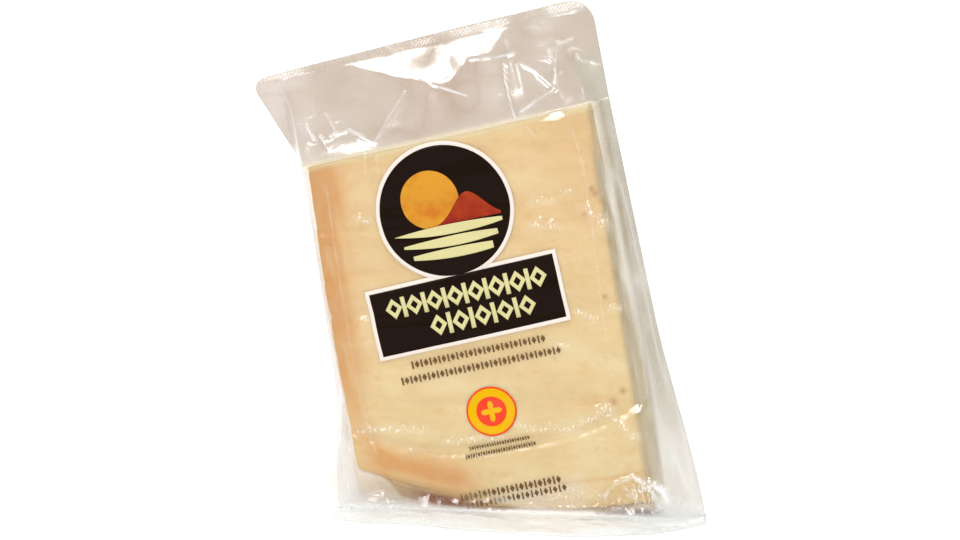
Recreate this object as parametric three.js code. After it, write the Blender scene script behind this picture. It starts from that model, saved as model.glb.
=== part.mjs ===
// Vacuum-packed chunk of hard grating cheese, standing on its slanted bottom edge.
//
// Millimetres, +Z up, front towards -Y, floor at z = 0.
// The sealed pouch and what it clings to are one closed solid. It has a front sheet
// and a back sheet, which meet in a thin fin all round: a header above the chunk,
// a fin down each side and a skirt that lies on the floor in front of the chunk.
//
// The pack has axes of its own, a to the right and b up along the chunk. They are
// turned by LEAN_LEFT in the plane of the front face. Depth c is measured backwards
// from the front face, and the whole pack leans back by LEAN_BACK.

import * as THREE from 'three';

// ---- how the pack stands ----
const LEAN_LEFT = THREE.MathUtils.degToRad(13.1);
const LEAN_BACK = THREE.MathUtils.degToRad(4);
const AXES_HEIGHT = 136.3;        // height of the pack axes' origin above the floor

// ---- chunk, in pack axes ----
const CHUNK_TOP = 32.3;           // b of the broken top at the front face
const TOP_FALL = 0.16;            // slope of the top, down to the back
const TOP_LEFT = -57;             // a of the rind side, at the top
const TOP_RIGHT = 71.6;           // a of the core side, at the top
const LEFT_SPREAD = 9;            // how far the rind side widens down to the bottom
const SPREAD_POWER = 1.8;         // curve of that widening
const RIGHT_TAPER = 8;            // how far the core side draws in down to the bottom
const TAPER_POWER = 1.5;          // curve of that narrowing
const RIND_DEPTH = 49;            // depth of the chunk at the rind side
const CORE_DEPTH = 36;            // depth of the chunk at the core side
const EDGE_RADIUS = 4;            // rounding of the upright edges under the film
const TOP_RADIUS = 1;             // rounding of the upper edges
const BASE_RADIUS = 4;            // rounding of the lower back edge

// ---- underside: level in the middle, rising to both ends as power curves ----
const LEFT_BEVEL = { start: 5, rise: 15.5, power: 1 };
const RIGHT_BEVEL = { start: 24, rise: 5.7, power: 1.3 };
// The left rise is an undercut of the front. Its depth grows from a lip at start to far,
// and between FULL_FROM and FULL_TO it gives way to a rise of the whole end.
const UNDERCUT = { start: -14, far: -52, lip: 0.5, depth: 10, power: 1.6, kept: 0.8 };
const FULL_FROM = -50;
const FULL_TO = -60;

// ---- pouch ----
const FILM = 0.9;                 // thickness of the fin, both sheets sealed together
const HEADER = 43.7;              // free film above the chunk
const SEAL_BAND = 3.6;            // height of the pressed seam along the top edge
const HEADER_LEFT = -76.4;        // a of the header's left corner
const POUCH_RIGHT = 80.9;         // a of the straight right edge
const HEADER_DROOP = 3.6;         // how much lower the top edge is at its left end
const TAPER_LEFT = 12;            // how far inside its edges the free header's film starts
const TAPER_RIGHT = 18.5;
const LEFT_CORNER = 7;            // radii of the header's two corners
const RIGHT_CORNER = 11;
const WAIST = 6.8;                // free fin beside the chunk's upper left corner
const WAIST_POWER = 0.95;         // curve of the header's left edge
const FIN_POWER = 1.1;            // curve of the left fin's edge
const RIGHT_FLARE = [0.5, 0.95];  // stretch of the right edge that flares to its foot
const TENT_LEFT = 4;              // how far the film bridges the corner beside each side
const TENT_RIGHT = 6.5;
const TENT_TOP = 1;
const TENT_CURVE = 1.6;           // hollow of the bridging film, across and in depth
const TENT_RISE = 1.3;

// ---- depth of the seam: midway down the left side, elsewhere close to the front ----
const SEAM_LEFT = 24;
const SEAM_TOP = 0.4;
const SEAM_RIGHT = 3;
const LEFT_TURN = [-66, -57];     // stretches of a over which it goes from one to the next
const RIGHT_TURN = [60, 76];
const DRAWN_FROM = 0.7;           // share of the way down where it starts to come forward

// ---- the header leans back to a crease, then as one facet, then more upright ----
const FACET_TOP = 70.5;           // b where the facet ends
const FACET_LEAN = 0.24;          // slopes of the facet and of the sealed edge
const SEAL_LEAN = 0.12;
const HEADER_BACK = 14.5;         // depth at FACET_TOP, in the header's middle
const HEADER_ENDS = 17.2;         // and at both its ends
const FACET_MIDDLE = 5;           // a of that middle
const FACET_SPAN = [36, 58];      // distances from it over which the depth changes
const CREASE = [                  // a and b of points on the crease
  [-34, 70.5], [-29, 70.3], [-16, 64], [-10, 60.6], [-1, 57], [7, 52],
  [14, 53.5], [23, 61], [34, 62], [38, 66], [41, 70.5],
];

// ---- foot and skirt ----
const FOOT_LEFT = { a: -77, b: -121, c: -3 };     // where the side fins reach the floor
const FOOT_RIGHT = { a: 84.6, b: -158.5, c: 4 };
const FOOT_DEPTH = -3;            // depth of the skirt's crease in front of the chunk
const FOOT_RISE = 5;              // height at which the front sheet leaves the chunk
const FOOT_FROM = 0.97;           // share of the way down where it does so
const FOOT_HOLLOW = 0.6;          // curve of the film from there to the floor
const SKIRT_LEFT = 20;            // reach of the skirt in front of the face, at its left
const SKIRT_GROWTH = 10;          // how much further it reaches to the right
const GROWTH_POWER = 0.6;
const SKIRT_TURN = 0.72;          // share of its length past which it is cut back
const SKIRT_CUT = 22;             // by this much at its right end
const CUT_POWER = 1.5;

// ---- broken surface: level bands where the cheese split, b at a = 0 ----
const CRAGS = [
  { at: 19, deep: 0.5, wide: 5, fall: 0.02, sag: 0 },
  { at: 2, deep: 1, wide: 5.2, fall: -0.135, sag: 0 },
  { at: -10, deep: 0.7, wide: 3.4, fall: -0.23, sag: 0 },
  { at: -28, deep: 0.6, wide: 4.5, fall: -0.2, sag: 0 },
  { at: -47, deep: 1, wide: 4.8, fall: -0.15, sag: 0 },
  { at: -68, deep: 0.6, wide: 5, fall: -0.22, sag: 0 },
  { at: -89, deep: 0.7, wide: 3.6, fall: -0.2, sag: 0 },
  { at: -112, deep: 1.3, wide: 3.2, fall: -0.1, sag: 14 },
];
const CRAG_WANDER = 1.8;          // how far a band strays from its line
const CRAG_PITCH = 19;            // distance over which it does so
const SAG_SPAN = 57;              // a at which a band has risen by its sag
const FRONT_PHASE = 1;            // the bands stray differently on the two faces
const BACK_PHASE = 2;

// ---- fineness of the grid ----
const SEAL_ROWS = 2;
const HEADER_ROWS = 10;
const BACK_ROWS = 20;             // rows down the back
const CORNER_ROWS = 3;            // round its lower edge
const BASE_ROWS = 9;              // and forward under the base
const FACE_ROWS = BACK_ROWS + CORNER_ROWS + BASE_ROWS;
const FOOT_ROWS = 5;
const SKIRT_ROWS = 4;
const WEB_COLUMNS = 5;
const WALL_STEPS = 3;
const ARC_STEPS = 3;
const FACE_COLUMNS = 24;
const WEB_CLOSENESS = 1.2;        // columns of the fin lie closer near the chunk
const BASE_CLOSENESS = 0.7;       // rows of the base lie closer near the front
const CRAGS_FADE = [0.9, 1];      // share of the way down the back over which the bands fade
const LOWEST_UP = 0.04;           // height of the header's lowest row

const { clamp, lerp, smoothstep } = THREE.MathUtils;
const COS = Math.cos(LEAN_LEFT);
const SIN = Math.sin(LEAN_LEFT);
const LENGTH = CHUNK_TOP + AXES_HEIGHT;
const HEADER_FOOT = CHUNK_TOP + TENT_TOP;

// Height of the chunk's underside above the floor, at pack coordinate a and depth c.
function underside(a, c) {
  const { start, rise, power } = LEFT_BEVEL;
  const left = Math.max(0, start - a) / (start - TOP_LEFT + LEFT_SPREAD);
  const rightRun = TOP_RIGHT - RIGHT_TAPER - RIGHT_BEVEL.start;
  const right = Math.max(0, a - RIGHT_BEVEL.start) / rightRun;
  const reach = Math.max(0, UNDERCUT.start - a) / (UNDERCUT.start - UNDERCUT.far);
  const depth = UNDERCUT.lip + UNDERCUT.depth * reach ** UNDERCUT.power;
  const whole = UNDERCUT.kept * smoothstep(-a, -FULL_FROM, -FULL_TO);
  const cut = (1 - whole) * clamp(c / depth, 0, 1);
  return rise * left ** power * (1 - cut) + RIGHT_BEVEL.rise * right ** RIGHT_BEVEL.power;
}

// b of the point at pack coordinate a that stands at height z.
function levelB(a, z) {
  return (z - AXES_HEIGHT - a * SIN) / COS;
}

// Chunk's side edges at fraction t of the way down.
function chunkLeft(t) {
  return TOP_LEFT - LEFT_SPREAD * (1 - (1 - t) ** SPREAD_POWER);
}

function chunkRight(t) {
  return TOP_RIGHT - RIGHT_TAPER * t ** TAPER_POWER;
}

function chunkDepth(a) {
  return lerp(RIND_DEPTH, CORE_DEPTH, (a - TOP_LEFT) / (TOP_RIGHT - TOP_LEFT));
}

// Depth of the seam where it runs round the chunk.
function seamLine(a) {
  const front = lerp(SEAM_TOP, SEAM_RIGHT, smoothstep(a, ...RIGHT_TURN));
  return lerp(SEAM_LEFT, front, smoothstep(a, ...LEFT_TURN));
}

// Grooves of the broken surface, all sinking into the cheese.
function cragDepth(a, b, phase) {
  let depth = 0;
  for (const band of CRAGS) {
    const wander = CRAG_WANDER * Math.sin(a / CRAG_PITCH + band.at * phase);
    const middle = band.at + band.fall * a + band.sag * (a / SAG_SPAN) ** 2 + wander;
    depth += band.deep * Math.exp(-(((b - middle) / band.wide) ** 2));
  }
  return depth;
}

// Outline of the header's sides, with its two rounded corners.
function cornerInset(radius, fromTop) {
  const rise = Math.max(0, radius - fromTop);
  return radius - Math.sqrt(radius * radius - rise * rise);
}

function headerLeft(up) {
  const narrowed = lerp(TOP_LEFT - WAIST, HEADER_LEFT, up ** WAIST_POWER);
  return narrowed + cornerInset(LEFT_CORNER, (1 - up) * (HEADER - HEADER_DROOP));
}

function headerRight(up) {
  return POUCH_RIGHT - cornerInset(RIGHT_CORNER, (1 - up) * HEADER);
}

// b of a header row: its top edge droops a little towards the left.
function headerB(a, up) {
  const leftward = (POUCH_RIGHT - a) / (POUCH_RIGHT - HEADER_LEFT);
  return HEADER_FOOT + up * (HEADER - TENT_TOP - HEADER_DROOP * leftward ** 2);
}

// b of the header's crease at pack coordinate a, straight between its points.
function creaseB(a) {
  const next = CREASE.findIndex(([at]) => at > a);
  if (next === 0) return CREASE[0][1];
  if (next < 0) return CREASE[CREASE.length - 1][1];
  const [lastA, lastB] = CREASE[next - 1];
  const [nextA, nextB] = CREASE[next];
  return lerp(lastB, nextB, (a - lastA) / (nextA - lastA));
}

// Depth of the free header.
function headerDepth(a, b) {
  const crease = creaseB(a);
  const outer = smoothstep(Math.abs(a - FACET_MIDDLE), ...FACET_SPAN);
  const atCrease = lerp(HEADER_BACK, HEADER_ENDS, outer) - FACET_LEAN * (FACET_TOP - crease);
  const below = clamp((b - HEADER_FOOT) / (crease - HEADER_FOOT), 0, 1);
  const facet = FACET_LEAN * clamp(b - crease, 0, FACET_TOP - crease);
  return lerp(seamLine(a), atCrease, below) + facet + SEAL_LEAN * Math.max(0, b - FACET_TOP);
}

// Free edges of the pouch beside the chunk, down from 0 at its top to 1 at the floor.
function finLeft(down) {
  return lerp(TOP_LEFT - WAIST, FOOT_LEFT.a, down ** FIN_POWER);
}

function finRight(down) {
  return lerp(POUCH_RIGHT, FOOT_RIGHT.a, smoothstep(down, ...RIGHT_FLARE));
}

// From the flat fin (lift 0) over the bridging film, up the chunk's side and over its
// rounded edge (lift 1). Each step says how far it lies inside the chunk's edge.
function edgeSteps(radius, tent) {
  const share = radius / (RIND_DEPTH / 2);
  const steps = [];
  for (let i = 0; i < WALL_STEPS; i += 1) {
    const rise = i / WALL_STEPS;
    steps.push({ inside: -tent * (1 - rise) ** TENT_CURVE, lift: rise ** TENT_RISE * (1 - share) });
  }
  for (let i = 0; i < ARC_STEPS; i += 1) {
    const angle = (i / (ARC_STEPS - 1)) * (Math.PI / 2);
    steps.push({ inside: radius * (1 - Math.cos(angle)), lift: 1 - share * (1 - Math.sin(angle)) });
  }
  return steps;
}

// Columns from a free edge to the chunk: web is 1 at the free edge and 0 at the chunk.
function sideColumns(side, tent) {
  const columns = [];
  for (let i = 0; i < WEB_COLUMNS; i += 1) {
    columns.push({ web: (1 - i / WEB_COLUMNS) ** WEB_CLOSENESS, inside: -tent, lift: 0 });
  }
  for (const step of edgeSteps(EDGE_RADIUS, tent)) {
    columns.push({ web: 0, inside: step.inside, lift: step.lift });
  }
  return columns.map((column) => ({ ...column, side, across: side }));
}

// Columns across the pouch. across is the fraction from the chunk's left edge to its right.
function makeColumns() {
  const columns = sideColumns(0, TENT_LEFT);
  for (let i = 1; i < FACE_COLUMNS; i += 1) {
    columns.push({ web: 0, inside: EDGE_RADIUS, lift: 1, side: 0.5, across: i / FACE_COLUMNS });
  }
  return [...columns, ...sideColumns(1, TENT_RIGHT).reverse()];
}

// Rows from the header's top edge to the skirt's free edge. The zones are header, top
// (over the chunk's upper edge), face, foot (down to the floor) and skirt.
function makeRows() {
  const rows = [];
  const below = 1 - SEAL_BAND / HEADER;
  for (let i = 0; i < SEAL_ROWS; i += 1) {
    rows.push({ zone: 'header', up: lerp(1, below, i / SEAL_ROWS), lift: 0 });
  }
  for (let i = 0; i < HEADER_ROWS; i += 1) {
    rows.push({ zone: 'header', up: lerp(below, LOWEST_UP, i / (HEADER_ROWS - 1)), lift: 0 });
  }
  for (const step of edgeSteps(TOP_RADIUS, TENT_TOP)) {
    rows.push({ zone: 'top', inside: step.inside, lift: step.lift });
  }
  for (let i = 1; i <= FACE_ROWS; i += 1) {
    rows.push({ zone: 'face', index: i, along: i / FACE_ROWS, lift: 1 });
  }
  for (let i = 1; i <= FOOT_ROWS; i += 1) {
    rows.push({ zone: 'foot', along: i / FOOT_ROWS, lift: 1 });
  }
  for (let i = 1; i <= SKIRT_ROWS; i += 1) {
    rows.push({ zone: 'skirt', along: i / SKIRT_ROWS, lift: 0 });
  }
  return rows;
}

// How far down the chunk a row stands, 0 at its top and 1 where the skirt starts.
function rowDown(row) {
  if (row.zone === 'header') return 0;
  if (row.zone === 'top') return Math.max(0, row.inside) / LENGTH;
  if (row.zone === 'face') return lerp(TOP_RADIUS / LENGTH, FOOT_FROM, row.along);
  return 1;
}

function toWorld(a, b, c) {
  const z = AXES_HEIGHT + a * SIN + b * COS;
  return new THREE.Vector3(a * COS - b * SIN, c + z * Math.tan(LEAN_BACK), z);
}

// b of a row where it crosses the chunk at pack coordinate a.
function rowB(row, a) {
  if (row.zone === 'header') return headerB(a, row.up);
  if (row.zone === 'top') return CHUNK_TOP - row.inside;
  const low = levelB(a, underside(a, 0) + FOOT_RISE);
  return row.zone === 'face' ? lerp(CHUNK_TOP - TOP_RADIUS, low, row.along) : low;
}

// Free edge of the pouch on one side of a row.
function edgePoint(row, side) {
  if (row.zone === 'header') {
    const a = side === 0 ? headerLeft(row.up) : headerRight(row.up);
    return { a, b: headerB(a, row.up) };
  }
  const down = rowDown(row);
  const a = side === 0 ? finLeft(down) : finRight(down);
  return { a, b: lerp(CHUNK_TOP, (side === 0 ? FOOT_LEFT : FOOT_RIGHT).b, down) };
}

// Where a column crosses a row in the plane of the front face, in pack axes.
function gridPoint(row, column) {
  const up = row.zone === 'header' ? row.up : 0;
  const t = row.zone === 'face' ? row.along : Number(row.zone === 'foot' || row.zone === 'skirt');
  const left = lerp(chunkLeft(t), HEADER_LEFT + TAPER_LEFT, up) + column.inside;
  const right = lerp(chunkRight(t), POUCH_RIGHT - TAPER_RIGHT, up) - column.inside;
  const a = lerp(left, right, column.across);
  const b = rowB(row, a);
  if (column.web === 0) return { a, b };
  const edge = edgePoint(row, column.side);
  return { a: lerp(a, edge.a, column.web), b: lerp(b, edge.b, column.web) };
}

// Point of the crease where the film turns from standing to lying on the floor.
function footPoint(column, front) {
  const { a } = gridPoint({ zone: 'foot' }, { ...column, web: 0 });
  const edge = column.side === 0 ? FOOT_LEFT : FOOT_RIGHT;
  const b = lerp(levelB(a, 0), levelB(edge.a, 0), column.web);
  const c = lerp(FOOT_DEPTH, edge.c, column.web);
  const point = toWorld(lerp(a, edge.a, column.web), b, c);
  point.z = front ? FILM : 0;
  point.y += front ? -FILM / 2 : FILM / 2;
  return point;
}

// The seam surface itself, which both sheets leave where they are lifted. Over the last
// part of the way down it is drawn forward to the skirt's crease.
function seamPoint(row, column, front) {
  const { a, b } = gridPoint(row, column);
  const edge = column.side === 0 ? FOOT_LEFT : FOOT_RIGHT;
  const foot = lerp(FOOT_DEPTH, edge.c, column.web);
  const drawn = smoothstep(rowDown(row), DRAWN_FROM, 1);
  const depth = row.zone === 'header' ? headerDepth(a, b) : lerp(seamLine(a), foot, drawn);
  const point = toWorld(a, b, depth + (front ? -FILM / 2 : FILM / 2));
  point.z = Math.max(point.z, front ? FILM : 0);
  return point;
}

// The front sheet where it lies on the chunk.
function frontPoint(row, column) {
  const { a, b } = gridPoint(row, column);
  return toWorld(a, b, cragDepth(a, b, FRONT_PHASE));
}

// The back sheet over the chunk's upper edge, along its sloping top.
function topPoint(row, column) {
  const { a, b } = gridPoint(row, column);
  const depth = chunkDepth(a) - cragDepth(a, b, BACK_PHASE);
  return toWorld(a, b - TOP_FALL * depth, depth);
}

// The back sheet runs down the back, round the lower back edge and forward under the base.
function backPoint(row, column) {
  if (row.zone === 'top') return topPoint(row, column);
  const { a } = gridPoint(row, column);
  const depth = chunkDepth(a);
  if (row.index <= BACK_ROWS) {
    const fall = row.index / BACK_ROWS;
    const high = CHUNK_TOP - TOP_RADIUS - TOP_FALL * depth;
    const b = lerp(high, levelB(a, underside(a, depth) + BASE_RADIUS), fall);
    const broken = 1 - smoothstep(fall, ...CRAGS_FADE);
    return toWorld(a, b, depth - cragDepth(a, b, BACK_PHASE) * broken);
  }
  const turned = Math.min(1, (row.index - BACK_ROWS) / CORNER_ROWS);
  const angle = turned * (Math.PI / 2);
  const forward = Math.max(0, row.index - BACK_ROWS - CORNER_ROWS) / BASE_ROWS;
  const behind = depth - BASE_RADIUS * (1 - Math.cos(angle));
  const c = lerp(behind, FILM, forward ** BASE_CLOSENESS);
  return toWorld(a, levelB(a, underside(a, c) + BASE_RADIUS * (1 - Math.sin(angle))), c);
}

// Free edge of the skirt, as a depth for each share of its length from the left.
function skirtEdge(across) {
  const cut = Math.max(0, across - SKIRT_TURN) / (1 - SKIRT_TURN);
  return SKIRT_CUT * cut ** CUT_POWER - SKIRT_LEFT - SKIRT_GROWTH * across ** GROWTH_POWER;
}

// The film from the chunk's foot to the crease on the floor, a hollow curve in front.
function hangingPoint(row, column, front, ends) {
  const last = { zone: 'face', index: FACE_ROWS, along: 1, lift: 1 };
  const start = sheetPoint(last, column, front, ends);
  const end = footPoint(column, front);
  const point = start.clone().lerp(end, row.along);
  point.z = lerp(start.z, end.z, front ? row.along ** FOOT_HOLLOW : row.along);
  return point;
}

// One point of a sheet.
function sheetPoint(row, column, front, ends) {
  if (row.zone === 'foot') return hangingPoint(row, column, front, ends);
  if (row.zone === 'skirt') {
    const point = footPoint(column, front);
    const across = (point.x - ends.left) / (ends.right - ends.left);
    point.y = lerp(point.y, skirtEdge(across), row.along);
    return point;
  }
  const seam = seamPoint(row, column, front);
  const lift = row.lift * column.lift;
  if (lift === 0) return seam;
  return seam.lerp(front ? frontPoint(row, column) : backPoint(row, column), lift);
}

// Both sheets as grids of points, joined along all four sides.
function makePack() {
  const columns = makeColumns();
  const rows = makeRows();
  const wide = columns.length;
  const tall = rows.length;
  const ends = { left: footPoint(columns[0], true).x, right: footPoint(columns[wide - 1], true).x };
  const positions = [];
  for (const front of [true, false]) {
    for (const row of rows) {
      for (const column of columns) {
        positions.push(...sheetPoint(row, column, front, ends).toArray());
      }
    }
  }

  const index = [];
  const at = (front, j, i) => (front ? 0 : wide * tall) + j * wide + i;
  const quad = (p, q, r, s) => index.push(p, q, r, p, r, s);
  for (let j = 0; j + 1 < tall; j += 1) {
    for (let i = 0; i + 1 < wide; i += 1) {
      quad(at(true, j, i), at(true, j + 1, i), at(true, j + 1, i + 1), at(true, j, i + 1));
      quad(at(false, j, i), at(false, j, i + 1), at(false, j + 1, i + 1), at(false, j + 1, i));
    }
    const right = wide - 1;
    quad(at(true, j, 0), at(false, j, 0), at(false, j + 1, 0), at(true, j + 1, 0));
    quad(at(true, j, right), at(true, j + 1, right), at(false, j + 1, right), at(false, j, right));
  }
  for (let i = 0; i + 1 < wide; i += 1) {
    const low = tall - 1;
    quad(at(true, 0, i), at(true, 0, i + 1), at(false, 0, i + 1), at(false, 0, i));
    quad(at(true, low, i), at(false, low, i), at(false, low, i + 1), at(true, low, i + 1));
  }

  const geometry = new THREE.BufferGeometry();
  geometry.setAttribute('position', new THREE.Float32BufferAttribute(positions, 3));
  geometry.setIndex(index);
  geometry.computeVertexNormals();
  return geometry;
}

// Moves a geometry so that its bounding box stands on z = 0, centred on the Z axis.
function standOnOrigin(geometry) {
  geometry.computeBoundingBox();
  const { min, max } = geometry.boundingBox;
  geometry.translate(-(min.x + max.x) / 2, -(min.y + max.y) / 2, -min.z);
  return geometry;
}

const film = new THREE.MeshStandardMaterial({ color: '#e8cb9c', roughness: 0.25, metalness: 0 });
const pack = new THREE.Mesh(standOnOrigin(makePack()), film);
pack.name = 'sealed_pack';

const part = new THREE.Group();
part.add(pack);

export default part;
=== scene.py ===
"""Vacuum-packed chunk of hard grating cheese: a clear pouch, the chunk in it and its print.

Lengths are millimetres until a mesh is made. The pack has axes of its own: a to the right
and b up along the chunk, turned by LEAN_LEFT in the plane of the front face, and c, the
depth behind that face. The whole pack leans back by LEAN_BACK.
"""

import math
from types import SimpleNamespace

import bmesh
import bpy
import numpy as np
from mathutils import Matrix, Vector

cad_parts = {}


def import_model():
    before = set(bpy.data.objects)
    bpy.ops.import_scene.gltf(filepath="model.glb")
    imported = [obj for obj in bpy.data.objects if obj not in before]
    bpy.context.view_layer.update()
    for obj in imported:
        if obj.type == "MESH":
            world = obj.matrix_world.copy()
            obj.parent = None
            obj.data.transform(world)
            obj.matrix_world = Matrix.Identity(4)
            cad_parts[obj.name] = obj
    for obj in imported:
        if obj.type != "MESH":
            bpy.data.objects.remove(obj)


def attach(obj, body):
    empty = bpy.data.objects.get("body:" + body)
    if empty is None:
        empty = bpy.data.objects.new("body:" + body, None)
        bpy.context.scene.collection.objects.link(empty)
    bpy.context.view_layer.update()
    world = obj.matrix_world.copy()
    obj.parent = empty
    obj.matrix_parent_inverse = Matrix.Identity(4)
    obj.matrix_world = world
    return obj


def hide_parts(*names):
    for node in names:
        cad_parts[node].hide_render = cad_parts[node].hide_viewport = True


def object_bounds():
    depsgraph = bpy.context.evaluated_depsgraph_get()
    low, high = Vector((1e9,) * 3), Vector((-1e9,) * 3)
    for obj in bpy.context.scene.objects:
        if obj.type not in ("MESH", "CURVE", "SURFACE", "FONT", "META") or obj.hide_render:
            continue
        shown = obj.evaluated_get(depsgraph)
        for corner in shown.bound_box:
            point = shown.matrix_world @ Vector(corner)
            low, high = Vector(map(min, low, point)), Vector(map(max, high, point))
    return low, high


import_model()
CAD_LOW, CAD_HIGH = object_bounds()
MM = 0.001

# ---- how the pack stands ----
LEAN_LEFT = math.radians(13.1)
LEAN_BACK = math.radians(4)
AXES_HEIGHT = 136.3
COS, SIN = math.cos(LEAN_LEFT), math.sin(LEAN_LEFT)

# ---- chunk, in pack axes ----
CHUNK_TOP = 32.3
TOP_FALL = 0.16              # the broken top slopes down to the back
TOP_LEFT, TOP_RIGHT = -57, 71.6
LEFT_SPREAD, LEFT_CURVE = 9, 1.8     # the left side runs outwards on its way down as a power
RIGHT_TAPER, RIGHT_CURVE = 8, 1.5    # curve, and the right side inwards
RIND_DEPTH, CORE_DEPTH = 49, 36
BASE_RADIUS = 4
# The underside is level in the middle and rises towards both ends as power curves. At the
# left the rise is an undercut of the front: from (start, 0) it grows to (far, depth), and it
# gives way to a full rise at the chunk's end.
LEFT_BEVEL = SimpleNamespace(start=5, rise=15.5, power=1)
UNDERCUT = SimpleNamespace(start=-14, far=-52, depth=10, power=1.6, full=(-50, -60), kept=0.8)
RIGHT_BEVEL = SimpleNamespace(start=24, rise=5.7, power=1.3)

# ---- pouch ----
FILM = 0.3                   # both sheets sealed together, a little thicker than real
HEADER, HEADER_DROOP = 43.7, 3.6
TAPER_LEFT, TAPER_RIGHT = 12, 18.5
SEAL_BAND = 3.6
HEADER_LEFT, POUCH_RIGHT = -76.4, 80.9
LEFT_CORNER, RIGHT_CORNER = 7, 11
WAIST = 6.8                  # the left fin's width where the pouch is narrowest
HEADER_CURVE, FIN_CURVE = 0.95, 1.1  # powers of the left edge above and below the waist
FIN_SPREADS = (0.5, 0.95)    # share of the way down over which the right edge moves outwards
# Depth of the seam: midway down the left side, close to the front face along the top and down
# the right side. The header leans back from it.
SEAM_LEFT, SEAM_TOP, SEAM_RIGHT = 24, 0.4, 3
LEFT_TURN, RIGHT_TURN = (-66, -57), (60, 76)     # where it eases from the sides to the top
# Shares of the way down: the seam comes forward to the skirt over the first, the slope of the
# chunk's top eases out along its sides over the second, and the last row lies at FACE_END.
SEAM_FORWARD, TOP_EASES, FACE_END = (0.7, 1), (0.02, 0.6), 0.97
TOP_TENT = 0.2               # how far above the chunk's top the header starts
HEADER_FOOT = CHUNK_TOP + TOP_TENT
FOOT_LEFT = SimpleNamespace(a=-77, b=-121, c=-3)
FOOT_RIGHT = SimpleNamespace(a=84.6, b=-158.5, c=4)
FOOT_DEPTH = -3
SKIRT_LEFT, SKIRT_GROWTH, SKIRT_CUT, SKIRT_TURN = 20, 10, 22, 0.72

# The film and the cheese share one form. gap is how far inside the film's surface it lies,
# radius rounds its upright edges and top its upper edge, rise is how high above the underside
# its front face ends, and turn is the share of the way down that then runs round the lower
# front edge. tents says how widely the film bridges the corner between the chunk's left and
# right sides and the fins.
FILM_SKIN = SimpleNamespace(gap=0, radius=4, top=0.5, rise=5, turn=0, tents=(4, 6.5))
CHEESE_SKIN = SimpleNamespace(gap=0.4, radius=3.4, top=2.6, rise=2.6, turn=0.03, tents=(0, 0))

# ---- level bands where the cheese split: b at a = 0, depth, half width, slope and sag ----
CRAGS = [
    (19, 0.5, 5.0, 0.02, 0), (2, 1.0, 5.2, -0.135, 0),
    (-10, 0.7, 3.4, -0.23, 0), (-28, 0.6, 4.5, -0.2, 0),
    (-47, 1.0, 4.8, -0.15, 0), (-68, 0.6, 5.0, -0.22, 0),
    (-89, 0.7, 3.6, -0.2, 0), (-112, 1.3, 3.2, -0.1, 14),
]
CRAG_WANDER, CRAG_PITCH, SAG_SPAN = 1.8, 19, 57


# ================================ small helpers ================================

def mix(low, high, share):
    return low + (high - low) * share


def smooth(value, low, high):
    """Eases from 0 at low to 1 at high."""
    t = np.clip((value - low) / (high - low), 0, 1)
    return t * t * (3 - 2 * t)


def between(value, rise, fall):
    """Eases in over one stretch of the value and out over another."""
    return smooth(value, *rise) * (1 - smooth(value, *fall))


def bell(distance, width):
    return np.exp(-((distance / width) ** 2))


def noise(x, y, pitch, seed):
    """Random values from -1 to 1 on a lattice of that pitch, eased between its corners."""
    table = np.random.default_rng(seed).uniform(-1, 1, (61, 61))
    u, v = x / pitch + 610.5, y / pitch + 610.5
    i, j = np.floor(u).astype(int), np.floor(v).astype(int)
    s, t = smooth(u - i, 0, 1), smooth(v - j, 0, 1)
    near = mix(table[i % 61, j % 61], table[(i + 1) % 61, j % 61], s)
    far = mix(table[i % 61, (j + 1) % 61], table[(i + 1) % 61, (j + 1) % 61], s)
    return mix(near, far, t)


def waves(x, y, height, pitch, seed):
    return height * noise(x, y, pitch, seed)


def ridged(x, y, pitch, seed):
    """Sharp crests along the zero lines of the lattice noise, 0 to 1."""
    return (1 - np.abs(noise(x, y, pitch, seed))) ** 4


def fold(a, b, points, width):
    """A bell across the distance to the nearest stretch of a line through several points."""
    nearest = np.inf
    for (start_a, start_b), (end_a, end_b) in zip(points[:-1], points[1:]):
        run_a, run_b = end_a - start_a, end_b - start_b
        along = ((a - start_a) * run_a + (b - start_b) * run_b) / (run_a ** 2 + run_b ** 2)
        along = np.clip(along, 0, 1)
        beside = np.hypot(a - start_a - along * run_a, b - start_b - along * run_b)
        nearest = np.minimum(nearest, beside)
    return bell(nearest, width)


# ================================ the pack's form ================================

def underside(a, c=0):
    """Height of the chunk's underside: level, then rising to either side as a power curve. The
    left rise is highest at the front face and eases out behind it."""
    left = np.maximum(0, LEFT_BEVEL.start - a) / (LEFT_BEVEL.start - TOP_LEFT + LEFT_SPREAD)
    right = np.maximum(0, a - RIGHT_BEVEL.start) / (TOP_RIGHT - RIGHT_TAPER - RIGHT_BEVEL.start)
    reach = np.maximum(0, UNDERCUT.start - a) / (UNDERCUT.start - UNDERCUT.far)
    depth = 0.5 + UNDERCUT.depth * reach ** UNDERCUT.power
    cut = (1 - UNDERCUT.kept * smooth(a, *UNDERCUT.full)) * np.clip(c / depth, 0, 1)
    rise = LEFT_BEVEL.rise * left ** LEFT_BEVEL.power * (1 - cut)
    return rise + RIGHT_BEVEL.rise * right ** RIGHT_BEVEL.power


def level_b(a, z):
    """b of the point at pack coordinate a that stands at height z."""
    return (z - AXES_HEIGHT - a * SIN) / COS


def chunk_left(t):
    return TOP_LEFT - LEFT_SPREAD * (1 - (1 - t) ** LEFT_CURVE)


def chunk_right(t):
    return TOP_RIGHT - RIGHT_TAPER * t ** RIGHT_CURVE


def chunk_depth(a):
    return mix(RIND_DEPTH, CORE_DEPTH, (a - TOP_LEFT) / (TOP_RIGHT - TOP_LEFT))


def seam_line(a):
    """Depth of the pouch's seam where it runs round the chunk."""
    return mix(SEAM_LEFT, mix(SEAM_TOP, SEAM_RIGHT, smooth(a, *RIGHT_TURN)), smooth(a, *LEFT_TURN))


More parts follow.
